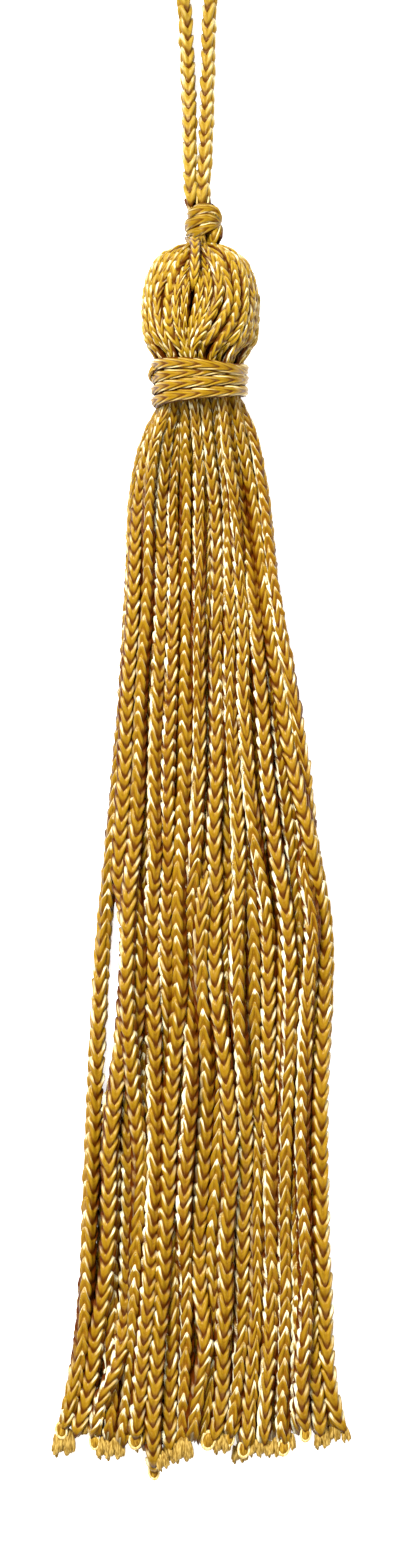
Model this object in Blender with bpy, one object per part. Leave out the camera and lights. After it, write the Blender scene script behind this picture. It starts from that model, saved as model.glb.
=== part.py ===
"""A silk tassel that lies on its back: chainette strands, a ribbed head, a wound neck, a knot and a loop.

The tassel's length runs along Y, with the knot at +Y and the strand ends at -Y. It lies on the plane
z = 0, and the origin is the middle of its box on that plane, measured without the loop.
Sizes are in millimetres times MM, which gives metres.
"""

import math

import bmesh
import bpy
from mathutils import Vector

MM = 0.001

# Driving sizes
GAP = 0.3 * MM  # clearance between two pieces
AXIS_X = -0.1 * MM  # the middle of the head and the neck
AXIS_Z = 5.55 * MM  # the height of that axis above the floor
THICKNESS_SHARE = 0.885  # how thick the lying head and neck are, for their width
NECK_HALF_WIDTH = 4.65 * MM
NECK_TOP = 55.2 * MM
NECK_END = 49.4 * MM
CROWN_TOP = 68.0 * MM
NECK_SQUARENESS = 2.5  # exponent of the rounded section: 2 is an ellipse

# The ribs of the head are the cords that fold over at the crown
RIBS = 28
POINTS_PER_RIB = 3
RIB_DEPTH = 0.4 * MM
CREVICE_ANGLE = math.radians(98)  # the cords part along a crevice on the head's upper side
CREVICE_SPREAD = math.radians(7)
CREVICE_DEPTH = 0.8 * MM
CREVICE_MIDDLE = 60.0 * MM
CREVICE_REACH = 5.0 * MM

# Strands: how many lie above each other in each column of the neck, from left to right
NECK_COLUMNS = (3, 5, 6, 6, 6, 6, 5, 3)
FAN_COLUMNS = 2 * len(NECK_COLUMNS)
STRAND_HEIGHT = 1.5 * MM  # where the strand has room
STRAND_FLATNESS = 1.25  # how wide a strand lies, for its height
PACKING = 0.85  # the share of its room that a strand fills
NECK_ROW_PITCH = 1.25 * MM
LAYER_PITCH = 1.75 * MM
SPREAD_LENGTH = 85 * MM  # the fan is fully open this far below the neck
SPREAD_POWER = 1.3
SETTLE_LENGTH = 16 * MM  # the lowest strands reach the floor this far below the neck
SWAY = 0.25 * MM
END_LENGTH = 1.7 * MM  # the frayed tip of a strand
END_FLARE = 1.12
TIP_TAPER = 0.6
FILL_SCALE = 1000.0
FOOT_RIDGE = 0.1  # the top of a strand on the floor is this share of its foot's width

# Binding and knot
BINDING_TURNS = 7
BINDING_DEPTH = 0.75 * MM
BINDING_GROOVE = 0.33 * MM
BINDING_SIDES = 32
BINDING_POINTS_PER_TURN = 4
KNOT_HALF = (1.95 * MM, 2.15 * MM, 1.75 * MM)
KNOT_X = 0.35 * MM
KNOT_BANDS = 3.5
KNOT_BAND_DEPTH = 0.45 * MM
KNOT_SIDES = 24
KNOT_ROWS = 14
KNOT_SQUARENESS = 2.6

# Hanging loop
CORD_DIAMETER = 1.6 * MM
CORD_SPACING = 1.5 * MM

# The skirt's outline: the place along the tassel, and the outer edges to the left and right, in mm
SKIRT_OUTLINE = (
    # along, left, right
    (49.4, -4.5, 4.3),
    (47.8, -5.95, 5.55),
    (45.5, -6.95, 6.35),
    (42.0, -7.75, 7.05),
    (36.5, -8.15, 8.0),
    (28.5, -8.45, 9.35),
    (17.0, -9.35, 11.2),
    (5.0, -10.85, 12.75),
    (-6.0, -11.9, 14.3),
    (-16.0, -12.5, 15.0),
    (-26.0, -12.95, 14.95),
    (-40.0, -13.8, 14.8),
    (-50.0, -14.1, 15.0),
    (-60.0, -15.2, 15.7),
    (-69.0, -16.85, 16.85),
)

# The head's profile from the crown to the neck, in mm
HEAD_PROFILE = (
    # along, half width, share of the rib depth
    (68.0, 1.1, 0.0),
    (67.8, 2.9, 0.5),
    (67.2, 4.25, 0.9),
    (66.0, 5.35, 1.0),
    (64.2, 6.1, 1.0),
    (61.8, 6.55, 1.0),
    (59.5, 6.6, 1.0),
    (57.7, 6.35, 1.0),
    (56.4, 5.85, 0.9),
    (55.6, 5.2, 0.5),
    (55.2, 4.65, 0.0),
    (49.4, 4.65, 0.0),
)

# Where the top strand of each column of the fan ends along the tassel, from left to right, in mm
STRAND_ENDS = (
    -69.1, -67.2, -69.2, -68.9, -70.2, -72.6, -68.4, -69.1,
    -69.2, -68.6, -70.0, -70.1, -69.7, -67.8, -69.1, -68.0,
)
LOWER_SHORTENING = 0.9 * MM

# Places where the fan parts: after which column, the middle and reach along the tassel, the width, in mm
PARTINGS = (
    # column, middle, reach, width
    (0, -18.0, 21.0, 1.3),
    (0, -40.0, 18.0, 0.4),
    (14, -29.0, 9.0, 0.5),
)

# Cross-sections of a strand below the neck, in mm along the tassel
STRAND_STATIONS = (47.8, 45.5, 42.0, 36.5, 28.5, 18.0, 7.0, -5.0, -17.0, -29.0, -41.0, -53.0, -62.0)

# The loop's left leg from the knot to the middle of its top, in mm from the loop's centre line
LOOP_CENTRE_X = -0.4 * MM
LOOP_LEG = (
    # half the distance between the legs, along, height
    (0.97, 72.95, 5.55),
    (0.97, 75.5, 5.4),
    (0.98, 79.0, 4.5),
    (1.06, 83.5, 2.8),
    (1.2, 88.0, 1.4),
    (1.36, 92.0, 0.92),
    (1.6, 96.0, 0.82),
    (2.15, 99.5, 0.82),
    (3.0, 102.4, 0.82),
    (3.4, 105.4, 0.82),
    (2.4, 107.8, 0.82),
)
LOOP_TOP = (0.0, 108.8, 0.82)

GOLD = (0.56, 0.31, 0.035, 1.0)
PALE_GOLD = (0.66, 0.42, 0.09, 1.0)


def clear_scene():
    """Remove everything from the scene."""
    for obj in list(bpy.data.objects):
        bpy.data.objects.remove(obj)


def silk(name, colour):
    """A softly shining silk finish."""
    material = bpy.data.materials.new(name)
    material.use_nodes = True
    shader = material.node_tree.nodes["Principled BSDF"]
    shader.inputs["Base Color"].default_value = colour
    shader.inputs["Roughness"].default_value = 0.42
    shader.inputs["Metallic"].default_value = 0.0
    return material


def blend(start, end, share):
    """The value that lies this share of the way from start to end."""
    return start + (end - start) * share


def ease(value, start, end):
    """Rise smoothly from 0 at start to 1 at end."""
    share = min(max((value - start) / (end - start), 0.0), 1.0)
    return share * share * (3.0 - 2.0 * share)


def smooth_row(rows, along):
    """Read a table at a place along the tassel, on a smooth curve through its rows; along falls row by row."""
    places = [row[0] * MM for row in rows]
    last = len(rows) - 1
    if along >= places[0]:
        return [value * MM for value in rows[0][1:]]
    if along <= places[last]:
        return [value * MM for value in rows[last][1:]]
    step = 0
    while along < places[step + 1]:
        step += 1
    before = max(step - 1, 0)
    after = min(step + 2, last)
    length = places[step + 1] - places[step]
    share = (along - places[step]) / length
    values = []
    for index in range(1, len(rows[0])):
        start = rows[step][index]
        end = rows[step + 1][index]
        slope_in = (end - rows[before][index]) / (places[step + 1] - places[before]) * length
        slope_out = (rows[after][index] - start) / (places[after] - places[step]) * length
        square = share * share
        cube = square * share
        value = (2 * cube - 3 * square + 1) * start + (cube - 2 * square + share) * slope_in
        value += (3 * square - 2 * cube) * end + (cube - square) * slope_out
        values.append(value * MM)
    return values


def rounded_section(half_width, half_height, angle, squareness):
    """A point of a rounded rectangle-like section around the tassel's axis, as sideways and up."""
    sideways = math.cos(angle)
    upwards = math.sin(angle)
    reach = (abs(sideways) ** squareness + abs(upwards) ** squareness) ** (-1.0 / squareness)
    return half_width * reach * sideways, half_height * reach * upwards


def skin(bm, ring, next_ring):
    """Join two rings of vertices with a band of faces."""
    count = len(ring)
    for index in range(count):
        following = (index + 1) % count
        bm.faces.new((ring[index], ring[following], next_ring[following], next_ring[index]))


def cap(bm, ring, centre):
    """Close a ring with a fan of triangles round its centre."""
    middle = bm.verts.new(centre)
    count = len(ring)
    for index in range(count):
        bm.faces.new((ring[index], ring[(index + 1) % count], middle))


def ring_edges(bm, ring):
    """The edges round a ring, made where they don't exist yet."""
    edges = []
    count = len(ring)
    for index in range(count):
        pair = (ring[index], ring[(index + 1) % count])
        edges.append(bm.edges.get(pair) or bm.edges.new(pair))
    return edges


def fill_between(bm, edges, normal):
    """Fill a flat face round its holes, much enlarged for the moment, because the fill joins close points."""
    enlarged = Vector((FILL_SCALE, FILL_SCALE, FILL_SCALE))
    reduced = Vector((1.0 / FILL_SCALE, 1.0 / FILL_SCALE, 1.0 / FILL_SCALE))
    bmesh.ops.scale(bm, vec=enlarged, verts=bm.verts)
    bmesh.ops.triangle_fill(bm, use_beauty=True, edges=edges, normal=normal)
    bmesh.ops.scale(bm, vec=reduced, verts=bm.verts)


def finish(bm, name, material):
    """Turn a finished bmesh into an object with its faces pointing out."""
    bmesh.ops.recalc_face_normals(bm, faces=bm.faces)
    mesh = bpy.data.meshes.new(name)
    bm.to_mesh(mesh)
    bm.free()
    mesh.materials.append(material)
    mesh.shade_smooth()
    mesh.set_sharp_from_angle(angle=math.radians(50))
    obj = bpy.data.objects.new(name, mesh)
    bpy.context.scene.collection.objects.link(obj)
    return obj


def spread(along):
    """How far the fan has opened: 0 at the neck and 1 where the strands lie side by side."""
    share = min((NECK_END - along) / SPREAD_LENGTH, 1.0)
    return math.sin(0.5 * math.pi * share) ** SPREAD_POWER


def strand_size(along):
    """Width and height: squeezed by the neighbours near the neck, and rounder as the fan opens."""
    left, right = smooth_row(SKIRT_OUTLINE, along)
    pitch = (right - left) / FAN_COLUMNS
    opened = spread(along)
    height = min(STRAND_HEIGHT, PACKING * blend(NECK_ROW_PITCH, pitch / STRAND_FLATNESS, opened))
    width = min(STRAND_FLATNESS * height, PACKING * (2.0 - opened) * pitch)
    return width, height


def parted(x, fan_column, along, left, right):
    """Open the fan's partings by drawing the strands on the wider side together."""
    for column, middle, reach, width in PARTINGS:
        opening = width * MM * (1.0 - ease(abs(along - middle * MM), 0.0, reach * MM))
        border = blend(left, right, (column + 1) / FAN_COLUMNS)
        if column < FAN_COLUMNS // 2 and fan_column > column:
            x += opening * (right - x) / (right - border)
        if column >= FAN_COLUMNS // 2 and fan_column <= column:
            x -= opening * (x - left) / (border - left)
    return x


def column_in_fan(neck_column, row):
    """Each column of the neck opens into two columns of the fan, and its strands go to either in turn."""
    goes_out = row % 2 == 0
    is_left = neck_column < len(NECK_COLUMNS) // 2
    return 2 * neck_column + (0 if goes_out == is_left else 1)


def strand_point(neck_column, row, along):
    """The middle of a strand at a place along the tassel; rows are counted from the top of the neck."""
    count = NECK_COLUMNS[neck_column]
    fan_column = column_in_fan(neck_column, row)
    left, right = smooth_row(SKIRT_OUTLINE, along)
    opened = spread(along)
    across = blend((neck_column + 0.5) / len(NECK_COLUMNS), (fan_column + 0.5) / FAN_COLUMNS, opened)
    x = blend(left, right, across)
    x = parted(x, fan_column, along, left, right)
    wave = math.sin(2.0 * math.pi * (1.5 * across + along / (70 * MM)))
    x += SWAY * opened * wave * 4.0 * across * (1.0 - across)
    resting = strand_size(along)[1] / 2
    bundled = AXIS_Z - (count - 1) / 2 * NECK_ROW_PITCH
    lowest = blend(bundled, resting, ease(NECK_END - along, 0.0, SETTLE_LENGTH))
    stacked = (count - 1 - row) * NECK_ROW_PITCH
    layered = (count - 1 - row) // 2 * LAYER_PITCH
    return Vector((x, along, lowest + blend(stacked, layered, opened)))


def strand_section(centre, half_width, half_height, is_lowest):
    """Four corners of a strand: a flat foot for the one on the floor, and a diamond for those above."""
    if is_lowest:
        ridge = FOOT_RIDGE * half_width
        corners = (
            (-half_width, -half_height),
            (half_width, -half_height),
            (ridge, half_height),
            (-ridge, half_height),
        )
    else:
        corners = ((0.0, -half_height), (half_width, 0.0), (0.0, half_height), (-half_width, 0.0))
    return [centre + Vector((x, 0.0, z)) for x, z in corners]


def add_strand(bm, neck_column, row):
    """Build one strand from its root in the neck to its tip, and give back its root ring."""
    is_lowest = row == NECK_COLUMNS[neck_column] - 1
    tip = STRAND_ENDS[column_in_fan(neck_column, row)] * MM + LOWER_SHORTENING * (row // 2)
    places = [NECK_END] + [place * MM for place in STRAND_STATIONS] + [tip + END_LENGTH, tip]
    shapes = [(1.0, 1.0)] * (len(places) - 2) + [(1.0, END_FLARE), (TIP_TAPER, END_FLARE)]
    rings = []
    for place, (share, widening) in zip(places, shapes):
        centre = strand_point(neck_column, row, place)
        width, height = strand_size(place)
        centre.z -= 0.5 * height * (1.0 - share)
        corners = strand_section(centre, 0.5 * width * share * widening, 0.5 * height * share, is_lowest)
        rings.append([bm.verts.new(corner) for corner in corners])
    for ring, next_ring in zip(rings, rings[1:]):
        skin(bm, ring, next_ring)
    bm.faces.new(rings[-1])
    return rings[0]


def head_ring(along, half_width, rib_share):
    """Points round the head: the ribs stand out, and the underside is flat where it lies on the floor."""
    points = []
    count = RIBS * POINTS_PER_RIB
    crevice = CREVICE_DEPTH * (1.0 - ease(abs(along - CREVICE_MIDDLE), 0.0, CREVICE_REACH))
    for index in range(count):
        angle = 2.0 * math.pi * index / count
        ridge = math.sin(math.pi * (index % POINTS_PER_RIB) / POINTS_PER_RIB)
        reach = half_width + RIB_DEPTH * rib_share * (ridge - 0.5)
        reach -= crevice * math.exp(-(((angle - CREVICE_ANGLE) / CREVICE_SPREAD) ** 2))
        across, up = rounded_section(reach, reach * THICKNESS_SHARE, angle, NECK_SQUARENESS)
        points.append(Vector((AXIS_X + across, along, max(AXIS_Z + up, 0.0))))
    return points


def make_head_and_skirt(material):
    """The head, the neck and all strands, whose roots are fused in the neck's end."""
    bm = bmesh.new()
    rings = []
    for along, half_width, rib_share in HEAD_PROFILE:
        points = head_ring(along * MM, half_width * MM, rib_share)
        rings.append([bm.verts.new(point) for point in points])
    for ring, next_ring in zip(rings, rings[1:]):
        skin(bm, ring, next_ring)
    cap(bm, rings[0], Vector((AXIS_X, CROWN_TOP, AXIS_Z)))
    end_edges = ring_edges(bm, rings[-1])
    for neck_column, count in enumerate(NECK_COLUMNS):
        for row in range(count):
            root = add_strand(bm, neck_column, row)
            end_edges += ring_edges(bm, root)
    fill_between(bm, end_edges, Vector((0.0, -1.0, 0.0)))
    return finish(bm, "head_and_skirt", material)


def make_neck_binding(material):
    """The cord wound round the neck: one ring whose ridges climb as the turns do."""
    bottom = NECK_END + GAP
    top = NECK_TOP - GAP
    steps = BINDING_TURNS * BINDING_POINTS_PER_TURN
    bm = bmesh.new()
    sections = []
    for side in range(BINDING_SIDES):
        angle = 2.0 * math.pi * side / BINDING_SIDES
        inner = NECK_HALF_WIDTH + GAP
        section = []
        for step in range(steps + 1):
            height = step / steps
            turn = height * BINDING_TURNS + side / BINDING_SIDES
            ridge = abs(math.sin(math.pi * turn))
            at_edge = min(1.0, 6.0 * min(height, 1.0 - height) + 0.35)
            reach = inner + (BINDING_GROOVE + (BINDING_DEPTH - BINDING_GROOVE) * ridge) * at_edge
            section.append((reach, blend(bottom, top, height)))
        section.append((inner, top))
        section.append((inner, bottom))
        ring = []
        for reach, along in section:
            extra = reach - NECK_HALF_WIDTH
            width = NECK_HALF_WIDTH + extra
            height = NECK_HALF_WIDTH * THICKNESS_SHARE + extra
            across, up = rounded_section(width, height, angle, NECK_SQUARENESS)
            ring.append(bm.verts.new((AXIS_X + across, along, AXIS_Z + up)))
        sections.append(ring)
    for section, following in zip(sections, sections[1:] + sections[:1]):
        skin(bm, section, following)
    return finish(bm, "neck_binding", material)


def make_knot(material):
    """The overhand knot on the crown: a rounded body with bands that climb from left to right."""
    half_x, half_y, half_z = KNOT_HALF
    middle = Vector((KNOT_X, CROWN_TOP + GAP + half_y, AXIS_Z))
    bm = bmesh.new()
    rings = []
    for row in range(1, KNOT_ROWS):
        height = -math.cos(math.pi * row / KNOT_ROWS)
        girth = (1.0 - abs(height) ** KNOT_SQUARENESS) ** (1.0 / KNOT_SQUARENESS)
        ring = []
        for side in range(KNOT_SIDES):
            angle = 2.0 * math.pi * side / KNOT_SIDES
            band = abs(math.sin(math.pi * (0.5 * KNOT_BANDS * (height + 1.0) - side / KNOT_SIDES)))
            cut = KNOT_BAND_DEPTH * (1.0 - band) * girth
            across, up = rounded_section(half_x * girth - cut, half_z * girth - cut, angle, 2.0)
            ring.append(bm.verts.new(middle + Vector((across, half_y * height, up))))
        rings.append(ring)
    for ring, next_ring in zip(rings, rings[1:]):
        skin(bm, ring, next_ring)
    cap(bm, rings[0], middle - Vector((0.0, half_y, 0.0)))
    cap(bm, rings[-1], middle + Vector((0.0, half_y, 0.0)))
    return finish(bm, "knot", material)


def loop_route():
    """The loop's own points, up one leg, round the top and down the other, in metres."""
    left = [(LOOP_CENTRE_X - half * MM, along * MM, height * MM) for half, along, height in LOOP_LEG]
    right = [(LOOP_CENTRE_X + half * MM, along * MM, height * MM) for half, along, height in LOOP_LEG]
    top = (LOOP_CENTRE_X, LOOP_TOP[1] * MM, LOOP_TOP[2] * MM)
    return [Vector(point) for point in left + [top] + right[::-1]]


def smooth_route(points, spacing):
    """Points at an even spacing on one smooth curve through the route's own points."""
    dense = []
    ends = [2 * points[0] - points[1]] + points + [2 * points[-1] - points[-2]]
    for before, start, end, after in zip(ends, ends[1:], ends[2:], ends[3:]):
        for step in range(20):
            share = step / 20
            pull = (end - before) * 0.5
            push = (after - start) * 0.5
            square = share * share
            cube = square * share
            point = start * (2 * cube - 3 * square + 1) + pull * (cube - 2 * square + share)
            dense.append(point + end * (3 * square - 2 * cube) + push * (cube - square))
    dense.append(points[-1])
    lengths = [0.0]
    for here, there in zip(dense, dense[1:]):
        lengths.append(lengths[-1] + (there - here).length)
    count = max(2, round(lengths[-1] / spacing))
    even = []
    step = 0
    for index in range(count + 1):
        wanted = lengths[-1] * index / count
        while step < len(lengths) - 2 and lengths[step + 1] < wanted:
            step += 1
        share = (wanted - lengths[step]) / (lengths[step + 1] - lengths[step])
        even.append(dense[step].lerp(dense[step + 1], share))
    return even


def make_hanging_loop(material):
    """The chainette cord of the loop: it leaves the knot, sinks to the floor and comes back."""
    route = smooth_route(loop_route(), CORD_SPACING)
    curve = bpy.data.curves.new("hanging_loop", "CURVE")
    curve.dimensions = "3D"
    curve.bevel_depth = CORD_DIAMETER / 2
    curve.bevel_resolution = 2
    curve.use_fill_caps = True
    spline = curve.splines.new("POLY")
    spline.points.add(len(route) - 1)
    for spline_point, place in zip(spline.points, route):
        spline_point.co = (place.x, place.y, place.z, 1.0)
    curve.materials.append(material)
    obj = bpy.data.objects.new("hanging_loop", curve)
    bpy.context.scene.collection.objects.link(obj)
    return obj


def main():
    clear_scene()
    gold = silk("gold silk", GOLD)
    pale_gold = silk("pale gold silk", PALE_GOLD)
    make_head_and_skirt(gold)
    make_neck_binding(gold)
    make_knot(gold)
    make_hanging_loop(pale_gold)


main()
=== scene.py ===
# %% [markdown]
# # A silk tassel of knitted chainette
# A key tassel is a bundle of silk cords that fold over at the crown, are bound at the neck and hang as a
# skirt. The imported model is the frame. It says where each piece is, and this lesson gives it its surface.
# Everything is in metres: the tassel lies on its back, its length runs along Y and the floor is z = 0.

# %% Load the frame
import math

import bpy
import numpy as np
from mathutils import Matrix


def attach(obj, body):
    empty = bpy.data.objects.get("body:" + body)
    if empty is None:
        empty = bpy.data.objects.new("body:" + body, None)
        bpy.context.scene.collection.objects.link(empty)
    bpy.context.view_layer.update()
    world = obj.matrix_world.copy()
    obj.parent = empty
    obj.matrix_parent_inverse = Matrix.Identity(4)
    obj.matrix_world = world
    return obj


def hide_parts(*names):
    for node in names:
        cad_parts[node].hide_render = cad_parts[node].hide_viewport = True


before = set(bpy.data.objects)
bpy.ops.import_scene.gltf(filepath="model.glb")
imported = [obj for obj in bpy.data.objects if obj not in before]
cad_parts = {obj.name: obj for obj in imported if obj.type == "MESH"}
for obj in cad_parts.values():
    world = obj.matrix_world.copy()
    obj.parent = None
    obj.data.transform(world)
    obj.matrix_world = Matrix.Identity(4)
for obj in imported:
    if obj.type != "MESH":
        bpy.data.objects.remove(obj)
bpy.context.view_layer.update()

MM = 0.001

# %% [markdown]
# ## Camera
# The tassel lies on a table and is seen from straight above, through a long lens, so nothing leans
# outwards. The view is tall and narrow, and its height fixes how far away the camera stands.

# %% Camera straight above
VIEW_HEIGHT = 176.1 * MM
LENS = 100.0
SENSOR = 36.0
VIEW_MIDDLE = (0.4 * MM, 7.9 * MM)
AIM_HEIGHT = 4.0 * MM


def add_object(name, data):
    """A new object in the scene that shows the data."""
    piece = bpy.data.objects.new(name, data)
    bpy.context.scene.collection.objects.link(piece)
    return piece


camera_data = bpy.data.cameras.new("camera")
camera_data.lens = LENS
camera_data.sensor_fit = "VERTICAL"
camera_data.sensor_height = SENSOR
camera_data.clip_start = 10.0 * MM
camera = add_object("camera", camera_data)
camera.location = (*VIEW_MIDDLE, AIM_HEIGHT + VIEW_HEIGHT * LENS / SENSOR)
bpy.context.scene.camera = camera
print("camera height, mm:", round(camera.location.z / MM))

# %% [markdown]
# ## Small tools
# Blender's operators act on whatever is selected. So every step starts from an empty selection, and picks
# what it works on in code. `ease` and `blend` shape soft transitions. `smooth_line` reads a short table of
# measurements on a smooth curve, as a draughtsman lays a spline through marks. `distances` measures along a
# line of points, and `evenly` walks along a route in equal steps.

# %% Selection
def pick(*pieces):
    """Select only these pieces, and make the first one active."""
    bpy.ops.object.select_all(action="DESELECT")
    for piece in pieces:
        piece.select_set(True)
    bpy.context.view_layer.objects.active = pieces[0]


def add_shape(operator, **settings):
    """A new shape, made by an operator on an empty selection."""
    bpy.ops.object.select_all(action="DESELECT")
    operator(**settings)
    return bpy.context.object


print("selected now:", len(bpy.context.selected_objects), "objects")


# %% Blending and lines
CURVE_STEPS = 20  # of a smooth curve, for each point of its route


def blend(start, end, share):
    return start + (end - start) * share


def ease(value, start, end):
    share = np.clip((value - start) / (end - start), 0.0, 1.0)
    return share * share * (3.0 - 2.0 * share)


def smooth_line(places, values, wanted):
    """Read values at the wanted places on a smooth curve through measured places, which rise."""
    places = np.asarray(places, dtype=float)
    values = np.asarray(values, dtype=float)
    wanted = np.clip(np.asarray(wanted, dtype=float), places[0], places[-1])
    number = np.arange(len(places))
    before, after = np.maximum(number - 1, 0), np.minimum(number + 1, number[-1])
    slopes = (values[after] - values[before]) / (places[after] - places[before])
    step = np.clip(np.searchsorted(places, wanted) - 1, 0, len(places) - 2)
    length = places[step + 1] - places[step]
    share = (wanted - places[step]) / length
    square = share * share
    cube = square * share
    smooth = (2 * cube - 3 * square + 1) * values[step]
    smooth += (cube - 2 * square + share) * length * slopes[step]
    smooth += (3 * square - 2 * cube) * values[step + 1]
    smooth += (cube - square) * length * slopes[step + 1]
    return smooth


def distances(points):
    """How far along its line each point lies."""
    return np.concatenate([[0.0], np.cumsum(np.linalg.norm(np.diff(points, axis=0), axis=1))])


def read_line(wanted, marks, points):
    """The places at the wanted marks along a line of points."""
    return np.stack([np.interp(wanted, marks, column) for column in np.transpose(points)], axis=1)


def evenly(route, spacing):
    """Points at an even spacing along a smooth curve through the route's own points."""
    marks = distances(route)
    dense = np.linspace(0.0, marks[-1], CURVE_STEPS * len(route))
    curve = np.stack([smooth_line(marks, column, dense) for column in np.transpose(route)], axis=1)
    lengths = distances(curve)
    wanted = np.linspace(0.0, lengths[-1], max(2, round(lengths[-1] / spacing)) + 1)
    return read_line(wanted, lengths, curve)


print("halfway between marks at 0 and 2:", ease(1.0, 0.0, 2.0), "and", blend(10.0, 20.0, 0.5))

# %% [markdown]
# ## Chainette
# Chainette is a thin knitted tube. Each stitch is a V of two fat legs of silk, and the next stitch stands in
# its open top. Round the cord there are three such columns of V's. It could be a smooth tube with a bump
# pattern, but the legs are thick and stand well apart, so the outline and the shadows need real shape.
# One course of stitches is modelled as a flat grid, given its relief, and rolled up into a short tube. An
# array repeats it, and each cord is then bent to its own line. Where a cord is pulled tight, as round the
# neck, its legs lie down along it and it turns smooth, so there are courses with more slant and less relief.
# Cords deep in the bundle get a course with few faces.

# %% One course of stitches
STITCH = 1.74 * MM
CORD_RADIUS = 1.0 * MM
LEG_RELIEF = 0.44 * MM
LEG_COLUMNS = 6
LEG_SLANT = 1.0
LOOP_SLANT = 0.75
TAUT_SLANT = 1.7
TAUT_RELIEF = 0.35 * MM
TIGHT_RELIEF = 0.26 * MM
WIDER_FACE = 0.3  # how much wider the V column that faces up is drawn, in radians
LATE_CROWN = 1.35  # draws the rows together at the leg's upper edge, where the relief is steep
NEARLY = 1e-6
WELD = 0.01 * MM
# Each pair has a share of the way over or along a leg, then its height there, or how far it has slanted.
LEG_CROWN = ((0.0, 0.2), (0.07, 0.8), (0.17, 1.0), (0.32, 0.95), (0.52, 0.8), (0.76, 0.52), (1.0, 0.2))
LEG_RISE = ((0.0, 0.25), (0.18, 0.7), (0.42, 0.92), (0.7, 1.0), (0.9, 0.98), (1.0, 0.5))
LEG_REACH = ((0.0, 0.0), (0.2, 0.1), (0.45, 0.34), (0.7, 0.69), (0.88, 0.94), (1.0, 0.98))


def table(rows, values):
    """Read the second column of a short table at values of its first."""
    return np.interp(values, *np.transpose(rows))


def read_points(mesh):
    """The places of a mesh's points, one in each row."""
    places = np.empty(len(mesh.vertices) * 3)
    mesh.vertices.foreach_get("co", places)
    return places.reshape(-1, 3)


def knit_course(name, across, rows, slant=LEG_SLANT, relief=LEG_RELIEF):
    """One course of stitches as a short tube along X, with UV across a leg and along it."""
    course = add_shape(
        bpy.ops.mesh.primitive_grid_add,
        x_subdivisions=rows, y_subdivisions=LEG_COLUMNS * across, size=1.0,
    )
    course.name = name
    mesh = course.data
    x, y, _ = read_points(mesh).T
    over_leg = np.abs(x + 0.5) ** LATE_CROWN
    column = (y + 0.5) * LEG_COLUMNS
    number = np.minimum(np.floor(column + NEARLY), LEG_COLUMNS - 1)
    share = column - number
    rising = number % 2 == 0
    evenly_placed = np.where(rising, share, 1.0 - share)
    along_leg = np.interp(evenly_placed, np.linspace(0.0, 1.0, len(LEG_RISE)), np.transpose(LEG_RISE)[0])
    column = number + np.where(rising, along_leg, 1.0 - along_leg)
    crown = table(LEG_CROWN, over_leg)
    radius = CORD_RADIUS - relief + relief * crown * table(LEG_RISE, along_leg)
    angle = math.tau * column / LEG_COLUMNS
    angle += WIDER_FACE * np.sin(angle) + 0.25 * math.tau
    x = STITCH * (over_leg - slant * table(LEG_REACH, along_leg))
    shaped = np.stack([x, radius * np.cos(angle), radius * np.sin(angle)], axis=1)
    layer = mesh.uv_layers.active.data
    for loop in mesh.loops:
        point = loop.vertex_index
        layer[loop.index].uv = (over_leg[point], column[point])
    mesh.vertices.foreach_set("co", shaped.ravel())
    mesh.update()
    bpy.ops.object.mode_set(mode="EDIT")
    bpy.ops.mesh.select_all(action="SELECT")
    bpy.ops.mesh.remove_doubles(threshold=WELD)
    bpy.ops.mesh.normals_make_consistent(inside=False)
    bpy.ops.object.mode_set(mode="OBJECT")
    mesh.shade_smooth()
    return course


fine_course = knit_course("fine_course", across=5, rows=6)
plain_course = knit_course("plain_course", across=2, rows=4)
loop_course = knit_course("loop_course", across=5, rows=6, slant=LOOP_SLANT)
taut_course = knit_course("taut_course", across=5, rows=6, slant=TAUT_SLANT, relief=TAUT_RELIEF)
tight_course = knit_course("tight_course", across=4, rows=5, slant=TAUT_SLANT, relief=TIGHT_RELIEF)
courses = (fine_course, plain_course, loop_course, taut_course, tight_course)
for course in courses:
    print(course.name, len(course.data.polygons), "faces")


# %% [markdown]
# ## A cord along its line
# The array makes a straight cord. Bending it could be left to a Curve modifier, but that one turns a cord
# over where its line runs upright, and it can't flatten a cord. So the bend is written out: every point of
# the cord is carried to a frame on the line, which has a tangent, an upward side and a width and thickness.
# The array comes first, and it moves the UV map on by whole turns, so that each cord can have its own tone.

# %% Repeat a course
TONES = 40  # how many tones the cords may have
unevenness = np.random.default_rng(3)


def repeat_course(name, course, stitches):
    """A straight cord with so many stitches, open at both ends."""
    cord = add_object(name, course.data.copy())
    repeat = cord.modifiers.new("repeat", "ARRAY")
    repeat.count = stitches
    repeat.use_relative_offset = False
    repeat.use_constant_offset = True
    repeat.constant_offset_displace = (STITCH, 0.0, 0.0)
    repeat.use_merge_vertices = True
    repeat.merge_threshold = WELD
    repeat.offset_u = 1.0
    pick(cord)
    bpy.ops.object.modifier_apply(modifier="repeat")
    mesh = cord.data
    stitch_map = np.empty(len(mesh.loops) * 2)
    mesh.uv_layers.active.data.foreach_get("uv", stitch_map)
    stitch_map[1::2] += 2 * LEG_COLUMNS * int(unevenness.integers(0, TONES))
    mesh.uv_layers.active.data.foreach_set("uv", stitch_map)
    return cord


def close_ends():
    """Fill the two open ends of the active cord."""
    bpy.ops.object.mode_set(mode="EDIT")
    bpy.ops.mesh.select_mode(type="EDGE")
    bpy.ops.mesh.select_all(action="DESELECT")
    bpy.ops.mesh.select_non_manifold()
    bpy.ops.mesh.edge_face_add()
    bpy.ops.mesh.select_mode(type="VERT")
    bpy.ops.object.mode_set(mode="OBJECT")


print("a hundred fine stitches have", 100 * len(fine_course.data.polygons), "faces")

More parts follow.
